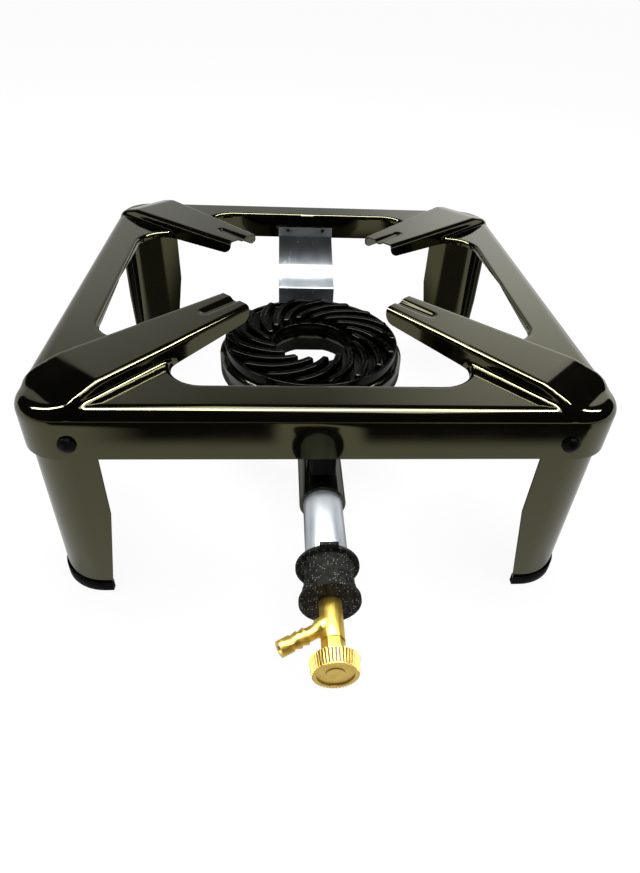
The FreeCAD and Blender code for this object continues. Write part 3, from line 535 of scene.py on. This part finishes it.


# dark and light shades, roughness range, metal, patches (scale, stretch, spread), grain (scale, lumps,
# stretch) and its depth (mm), specks (scale, size, share, colour, added roughness), wear (width mm, gain,
# colour), painted shade on the strap behind the burner (where along Y it starts and is full, colour),
# colour of the painted shade in the flutes
finishes = {
    "black_enamel": {
        "dark": (0.0014, 0.0013, 0.001), "light": (0.003, 0.0027, 0.002), "rough": (0.05, 0.085), "metal": 0.0,
        "ior": 1.75, "tint": (1.0, 0.98, 0.52), "patch": 22.0, "stretch": (1, 1, 1), "spread": 0.2,
        "grain": (420.0, 0.5, (1, 1, 1)), "depth": 0.0016,
        "specks": (240.0, 0.09, 0.05, (0.03, 0.03, 0.027), 0.25)},
    "black_casting": {
        "dark": (0.0006, 0.0006, 0.0005), "light": (0.002, 0.002, 0.0017), "rough": (0.08, 0.15), "metal": 0.0,
        "ior": 1.2, "tint": (1.0, 1.0, 0.9), "patch": 70.0, "stretch": (1, 1, 1), "spread": 0.2,
        "grain": (520.0, 0.5, (1, 1, 1)), "depth": 0.05,
        "specks": (420.0, 0.12, 0.06, (0.05, 0.05, 0.045), 0.2), "wear": (0.4, 2.2, (0.14, 0.14, 0.13))},
    "bowl_gloss": {
        "dark": (0.0015, 0.0015, 0.0012), "light": (0.004, 0.004, 0.003), "rough": (0.1, 0.2), "metal": 0.0,
        "ior": 1.6, "tint": (1.0, 1.0, 0.8), "patch": 60.0, "stretch": (1, 1, 1), "spread": 0.2,
        "grain": (420.0, 0.5, (1, 1, 1)), "depth": 0.03,
        "specks": (420.0, 0.12, 0.06, (0.05, 0.05, 0.045), 0.2)},
    "rough_casting": {
        "dark": (0.006, 0.006, 0.005), "light": (0.035, 0.035, 0.03), "rough": (0.5, 0.7), "metal": 0.0,
        "ior": 1.15, "tint": (1.0, 1.0, 0.95), "patch": 260.0, "stretch": (1, 1, 1), "spread": 0.16,
        "grain": (900.0, 0.45, (1, 1, 1)), "depth": 0.8,
        "specks": (850.0, 0.36, 0.3, (0.8, 0.8, 0.77), -0.2), "wear": (0.4, 2.0, (0.1, 0.1, 0.092))},
    "zinc_plate": {
        "dark": (0.60, 0.66, 0.71), "light": (0.8, 0.85, 0.88), "rough": (0.33, 0.42), "metal": 0.7,
        "ior": 1.5, "tint": (1, 1, 1), "patch": 90.0, "stretch": (1, 0.3, 1), "spread": 0.25,
        "grain": (300.0, 0.3, (6, 0.4, 1)), "depth": 0.004,
        "specks": (260.0, 0.1, 0.05, (0.3, 0.31, 0.33), 0.25)},
    "strap_plate": {
        "dark": (0.50, 0.55, 0.60), "light": (0.62, 0.67, 0.72), "rough": (0.22, 0.28), "metal": 0.6,
        "ior": 1.5, "tint": (1, 1, 1), "patch": 90.0, "stretch": (1, 0.3, 1), "spread": 0.25,
        # painted shade: the strap darkens behind and below the burner
        "grain": (300.0, 0.3, (6, 0.4, 1)), "depth": 0.004, "strapShade": (0.1295, 0.1275, (0.003, 0.003, 0.003)),
        "specks": (260.0, 0.1, 0.05, (0.3, 0.31, 0.33), 0.25)},
    "black_bolt": {
        "dark": (0.002, 0.002, 0.002), "light": (0.007, 0.007, 0.006), "rough": (0.2, 0.3), "metal": 0.0,
        "ior": 1.15, "tint": (1, 1, 1), "patch": 120.0, "stretch": (1, 1, 1), "spread": 0.2,
        "grain": (900.0, 0.4, (1, 1, 1)), "depth": 0.05,
        "specks": (500.0, 0.15, 0.1, (0.08, 0.08, 0.075), 0.2), "wear": (0.3, 2.0, (0.04, 0.04, 0.038))},
    "steel": {
        "dark": (0.42, 0.42, 0.41), "light": (0.62, 0.62, 0.6), "rough": (0.25, 0.4), "metal": 1.0,
        "ior": 1.5, "tint": (1, 1, 1), "patch": 200.0, "stretch": (1, 1, 1), "spread": 0.2,
        "grain": (900.0, 0.3, (1, 1, 4)), "depth": 0.02,
        "specks": (500.0, 0.15, 0.1, (0.2, 0.2, 0.2), 0.2)},
    "brass": {
        "dark": (0.72, 0.47, 0.07), "light": (0.92, 0.68, 0.16), "rough": (0.32, 0.44), "metal": 0.85,
        "ior": 1.5, "tint": (1, 1, 1), "patch": 160.0, "stretch": (1, 1, 1), "spread": 0.22,
        "grain": (700.0, 0.25, (0.15, 3, 0.15)), "depth": 0.012,
        "specks": (600.0, 0.14, 0.1, (0.35, 0.2, 0.05), 0.2), "wear": (0.25, 4.0, (0.98, 0.88, 0.55))},
    "knob_brass": {
        "dark": (0.78, 0.50, 0.1), "light": (0.95, 0.72, 0.18), "rough": (0.34, 0.46), "metal": 0.8,
        "ior": 1.5, "tint": (1, 1, 1), "patch": 160.0, "stretch": (1, 1, 1), "spread": 0.22,
        # flutes: colour of the painted shade in the knob's flutes
        "grain": (700.0, 0.25, (0.15, 3, 0.15)), "depth": 0.01, "flutes": (0.09, 0.05, 0.02),
        "specks": (600.0, 0.14, 0.1, (0.35, 0.2, 0.05), 0.2), "wear": (0.2, 1.6, (0.98, 0.8, 0.55))},
    "black_plastic": {
        "dark": (0.002, 0.002, 0.002), "light": (0.005, 0.005, 0.005), "rough": (0.3, 0.42), "metal": 0.0,
        "ior": 1.1, "tint": (1, 1, 1), "patch": 60.0, "stretch": (1, 1, 1), "spread": 0.2,
        "grain": (1500.0, 0.2, (1, 1, 1)), "depth": 0.04,
        "specks": (300.0, 0.1, 0.06, (0.06, 0.06, 0.055), 0.2)},
    "packing": {
        "dark": (0.03, 0.03, 0.03), "light": (0.07, 0.07, 0.07), "rough": (0.5, 0.7), "metal": 0.0,
        "ior": 1.5, "tint": (1, 1, 1), "patch": 500.0, "stretch": (1, 1, 1), "spread": 0.2,
        "grain": (1500.0, 0.3, (1, 1, 1)), "depth": 0.05,
        "specks": (600.0, 0.2, 0.1, (0.12, 0.12, 0.12), 0.0)},
}


def makeFinish(name, p):
    material = bpy.data.materials.new(name)
    material.use_nodes = True
    tree = material.node_tree
    shader = tree.nodes["Principled BSDF"]
    shader.inputs["Metallic"].default_value = p["metal"]
    shader.inputs["IOR"].default_value = p["ior"]
    shader.inputs["Specular Tint"].default_value = (*p["tint"], 1)
    patches = useGroup(tree, mottle, {"Scale": p["patch"], "Spread": p["spread"], "Stretch": p["stretch"],
                                      "Dark": (*p["dark"], 1), "Light": (*p["light"], 1)})
    scale, size, share, speckColor, speckRough = p["specks"]
    dots = useGroup(tree, specks, {"Scale": scale, "Size": size, "Share": share})["Mask"]
    color = blend(tree, dots, patches["Color"], (*speckColor, 1))
    rough = ramp(tree, patches["Mask"], 0.0, 1.0, *p["rough"], smooth=False)
    rough = addNode(tree, "Math", {0: dots, 1: speckRough, 2: rough}, operation="MULTIPLY_ADD").outputs[0]
    if "strapShade" in p:                         # painted shade on the part of the strap behind and below the burner
        start, end, shadeColor = p["strapShade"]
        north = addNode(tree, "SeparateXYZ", {0: stretchedPlace(tree)}).outputs["Y"]
        color = blend(tree, ramp(tree, north, start, end, smooth=False), color, (*shadeColor, 1))
    # painted shade in the knob's flutes
    if "flutes" in p:
        color = blend(tree, useGroup(tree, fluteShade, knobFlutes)["Mask"], color, (*p["flutes"], 1))
    if "wear" in p:
        width, gain, wornColor = p["wear"]
        worn = useGroup(tree, edgeWear, {"Width": width * metre, "Gain": gain})["Mask"]
        color = blend(tree, worn, color, (*wornColor, 1))
    tree.links.new(color, shader.inputs["Base Color"])
    tree.links.new(rough, shader.inputs["Roughness"])
    grainScale, coarse, stretch = p["grain"]
    skin = useGroup(tree, grain, {"Scale": grainScale, "Coarse": coarse, "Stretch": stretch})["Height"]
    bump = addNode(tree, "Bump", {"Height": skin, "Strength": 1.0, "Distance": p["depth"] * metre})
    tree.links.new(bump.outputs["Normal"], shader.inputs["Normal"])
    return material


finishOf = {name: makeFinish(name.replace("_", " ").title().replace(" ", ""), p)
            for name, p in finishes.items()}
print("finishes:", len(finishOf))

makePressing(finishOf["black_enamel"])
makeBurnerCap(finishOf["black_casting"])
makeRearStrap(finishOf["strap_plate"])

edges = {
    "round": {"black_enamel": 0.35, "black_casting": 0.8, "rough_casting": 0.5,              # mm
              "zinc_plate": 0.25, "black_bolt": 0.35, "steel": 0.25, "brass": 0.25,
              "black_plastic": 0.5, "packing": 0.2},
    "knobRound": 0.08, "segments": 2, "angle": 32.0, "weldReach": 0.01,
    "ownMesh": ("frame_pressing", "burner_cap", "rear_bracket"),
}
ownFinish = {"burner_body": "bowl_gloss", "control_knob": "knob_brass", "front_bracket": "black_casting"}


def roundEdges(node, width):
    weld = node.modifiers.new("weld", "WELD")
    weld.merge_threshold = edges["weldReach"] * metre
    bevel = node.modifiers.new("roundEdges", "BEVEL")
    bevel.width = width * metre
    bevel.segments = edges["segments"] if fine else 1
    bevel.limit_method = "ANGLE"
    bevel.angle_limit = math.radians(edges["angle"])
    bevel.harden_normals = True


for part in frame["record"]["subparts"]:
    name, slotName = part["node"], part["material_slot"]
    nodes[name].data.materials.clear()
    nodes[name].data.materials.append(finishOf[ownFinish.get(name, slotName)])
    if name not in edges["ownMesh"] and not name.startswith("leg_"):
        roundEdges(nodes[name], edges["knobRound"] if name == "control_knob" else edges["round"][slotName])
print("CAD pieces finished")


view = {                                     # where the photograph was taken from
    "place": (-30.0, -508.8, 396.9), "yaw": 4.8244, "pitch": 38.2412, "roll": 3.0448,
    "focal": 616.70, "longSide": 873.0, "sensor": 36.0, "nearest": 0.01, "farthest": 50.0,
}


def makeCamera():
    yaw, pitch, roll = (math.radians(view[k]) for k in ("yaw", "pitch", "roll"))
    ahead = Vector((math.sin(yaw) * math.cos(pitch), math.cos(yaw) * math.cos(pitch), -math.sin(pitch)))
    right = Vector((math.cos(yaw), -math.sin(yaw), 0))
    up = right.cross(ahead)
    side = math.cos(roll) * right + math.sin(roll) * up
    top = -math.sin(roll) * right + math.cos(roll) * up
    data = bpy.data.cameras.new("camera")
    data.sensor_width = view["sensor"]
    data.lens = view["focal"] / view["longSide"] * view["sensor"]
    data.clip_start, data.clip_end = view["nearest"], view["farthest"]
    camera = bpy.data.objects.new("camera", data)
    bpy.context.scene.collection.objects.link(camera)
    turn = Matrix((side, top, -ahead)).transposed().to_4x4()
    camera.matrix_world = Matrix.Translation(Vector(view["place"]) * metre) @ turn
    bpy.context.scene.camera = camera


def addLamp(name, place, target, size, power):
    data = bpy.data.lights.new(name, "AREA")
    data.shape, data.size, data.size_y, data.energy = "RECTANGLE", size[0], size[1], power
    lamp = bpy.data.objects.new(name, data)
    lamp.location = place
    lamp.rotation_mode = "QUATERNION"
    lamp.rotation_quaternion = (Vector(target) - Vector(place)).to_track_quat("-Z", "Y")
    bpy.context.scene.collection.objects.link(lamp)


studio = {
    "wallTop": 0.585, "wallNear": 0.05, "nearFrom": 0.45, "nearTo": 0.8, "wallSoft": 0.02,  # white walls
    "wallGlow": 0.46, "leftGlow": 0.64, "leftFrom": -0.3, "leftTo": -0.05,
    "rightGlow": 1.35, "rightFrom": 0.05, "rightTo": 0.35,
    "fadeFrom": 0.38, "fadeTo": 0.56, "highShare": 0.68, "ceiling": 0.008,                  # dark above them
    "panelWide": 1.0, "panelWideSoft": 0.05, "panelMiddle": 0.16, "panelDeep": 0.07, "panelDeepSoft": 0.02,
    "panelGlow": 42.0, "worldLight": 0.3,                                                   # panel overhead
    "floorSize": 40.0, "floorColor": 0.9, "seenShare": 0.86, "seenGlow": 1.08,              # the floor
    "floorGlow": 0.74, "farFloor": 0.02, "farStart": -0.9, "farEnd": -1.7,                  # its mirror image
    # painted shade in the floor's mirror image: a band in front of the stove and a shadow under it
    "shadeStart": -0.37, "shadeEnd": -0.395, "shadeMiddle": 0.08, "shadeReach": -0.4, "shadeHalf": 0.6,
    "shadeSoft": 0.2, "gapMiddle": 0.012, "gapHalf": 0.035, "gapSoft": 0.02,
    "underWide": 0.17, "underDeep": 0.165, "underSoft": 0.05, "underGlow": 0.1,
    "lampPlace": (0.1, 0.15, 1.9), "lampTarget": (0.0, 0.0, 0.15), "lampSize": (1.6, 1.0), "lampPower": 26.0,
}


def rayIs(tree, *kinds):                     # 1 for the named kinds of ray
    path = addNode(tree, "LightPath")
    total = path.outputs[kinds[0]]
    for kind in kinds[1:]:
        total = reckon(tree, "MAXIMUM", total, path.outputs[kind])
    return total


def makeWorld(s):
    world = bpy.data.worlds.new("studio")
    bpy.context.scene.world = world
    world.use_nodes = True
    tree = world.node_tree
    back = tree.nodes["Background"]
    back.inputs["Color"].default_value = (1, 1, 1, 1)
    east, north, up = addNode(tree, "SeparateXYZ", {0: addNode(tree, "TexCoord").outputs["Generated"]}).outputs
    level = reckon(tree, "SQRT", reckon(tree, "SUBTRACT", 1.0001, reckon(tree, "MULTIPLY", up, up)))
    limit = ramp(tree, reckon(tree, "DIVIDE", north, level), s["nearFrom"], s["nearTo"],
                 s["wallNear"], s["wallTop"], smooth=False)
    wall = ramp(tree, reckon(tree, "SUBTRACT", up, limit), -s["wallSoft"], s["wallSoft"], 1.0, 0.0)
    glow = reckon(tree, "MAXIMUM",
                  ramp(tree, east, s["rightFrom"], s["rightTo"], s["wallGlow"], s["rightGlow"]),
                  ramp(tree, east, s["leftFrom"], s["leftTo"], s["leftGlow"], s["wallGlow"]))
    glow = reckon(tree, "MULTIPLY", glow, ramp(tree, up, s["fadeFrom"], s["fadeTo"], 1.0, s["highShare"]))
    wall = reckon(tree, "MAXIMUM", reckon(tree, "MULTIPLY", wall, glow), s["ceiling"])
    high = reckon(tree, "MAXIMUM", up, 0.001)
    across = reckon(tree, "ABSOLUTE", reckon(tree, "DIVIDE", east, high))
    away = reckon(tree, "ABSOLUTE",
                  reckon(tree, "SUBTRACT", reckon(tree, "DIVIDE", north, high), s["panelMiddle"]))
    wide = ramp(tree, across, s["panelWide"], s["panelWide"] + s["panelWideSoft"], 1.0, 0.0)
    deep = ramp(tree, away, s["panelDeep"], s["panelDeep"] + s["panelDeepSoft"], 1.0, 0.0)
    panel = reckon(tree, "MULTIPLY", reckon(tree, "MULTIPLY", wide, deep), s["panelGlow"])
    mirrored = addNode(tree, "Mix", {0: rayIs(tree, "Is Glossy Ray"), 2: s["worldLight"],
                                     3: reckon(tree, "ADD", wall, panel)})
    seen = rayIs(tree, "Is Camera Ray", "Is Transmission Ray")
    strength = addNode(tree, "Mix", {0: seen, 2: mirrored.outputs[0], 3: 1.0})
    tree.links.new(strength.outputs[0], back.inputs["Strength"])


def mirroredFloor(tree, s):                  # the floor in reflections, with painted shadow and shade
    east, north, _ = addNode(tree, "SeparateXYZ", {0: addNode(tree, "TexCoord").outputs["Object"]}).outputs
    # painted fall-off of light far in front of the stove
    far = ramp(tree, north, s["farEnd"], s["farStart"], 1.0, 0.0)
    # painted shade in a band in front of the stove, kept off a narrow strip in the middle
    near = ramp(tree, north, s["shadeEnd"], s["shadeStart"], 1.0, 0.0)
    aside = reckon(tree, "DIVIDE", reckon(tree, "SUBTRACT", east, s["shadeMiddle"]),
                   reckon(tree, "MINIMUM", north, s["shadeReach"]))
    middle = ramp(tree, reckon(tree, "ABSOLUTE", aside),
                  s["shadeHalf"], s["shadeHalf"] + s["shadeSoft"], 1.0, 0.0)
    off = reckon(tree, "ABSOLUTE", reckon(tree, "SUBTRACT", east, s["gapMiddle"]))
    gap = ramp(tree, off, s["gapHalf"], s["gapHalf"] + s["gapSoft"])
    shade = reckon(tree, "MULTIPLY", near, reckon(tree, "MULTIPLY", middle, gap))
    pool = ramp(tree, reckon(tree, "MAXIMUM", shade, far), 0.0, 1.0,
                s["floorGlow"], s["farFloor"], smooth=False)
    # painted shadow on the floor under the stove
    wide, deep = (reckon(tree, "SUBTRACT", reckon(tree, "ABSOLUTE", place), s[half])
                  for place, half in ((east, "underWide"), (north, "underDeep")))
    under = ramp(tree, reckon(tree, "MAXIMUM", wide, deep), 0.0, s["underSoft"], s["underGlow"], 1.0)
    return reckon(tree, "MULTIPLY", pool, under)


def makeFloor(s):
    bpy.ops.mesh.primitive_plane_add(size=s["floorSize"])
    floor = bpy.context.object
    floor.name = "floor"
    material = bpy.data.materials.new("paleFloor")
    material.use_nodes = True
    tree = material.node_tree
    shader = tree.nodes["Principled BSDF"]
    shader.inputs["Base Color"].default_value = (*[s["floorColor"]] * 3, 1)
    shader.inputs["Roughness"].default_value = 1.0
    shader.inputs["Specular IOR Level"].default_value = 0.0
    strength = addNode(tree, "Mix", {
        0: rayIs(tree, "Is Glossy Ray"), 2: s["seenGlow"], 3: mirroredFloor(tree, s)})
    glow = addNode(tree, "Emission", {"Color": (1, 1, 1, 1), "Strength": strength.outputs[0]})
    seen = reckon(tree, "MULTIPLY", rayIs(tree, "Is Camera Ray", "Is Transmission Ray"), s["seenShare"])
    share = reckon(tree, "MAXIMUM", seen, rayIs(tree, "Is Glossy Ray"))
    mix = addNode(tree, "MixShader", {0: share, 1: shader.outputs[0], 2: glow.outputs[0]})
    tree.links.new(mix.outputs[0], tree.nodes["Material Output"].inputs["Surface"])
    floor.data.materials.append(material)


makeCamera()
makeWorld(studio)
makeFloor(studio)
addLamp("overheadLamp", studio["lampPlace"], studio["lampTarget"], studio["lampSize"], studio["lampPower"])
print("studio ready")
scene = bpy.context.scene
scene.view_settings.view_transform = "Standard"
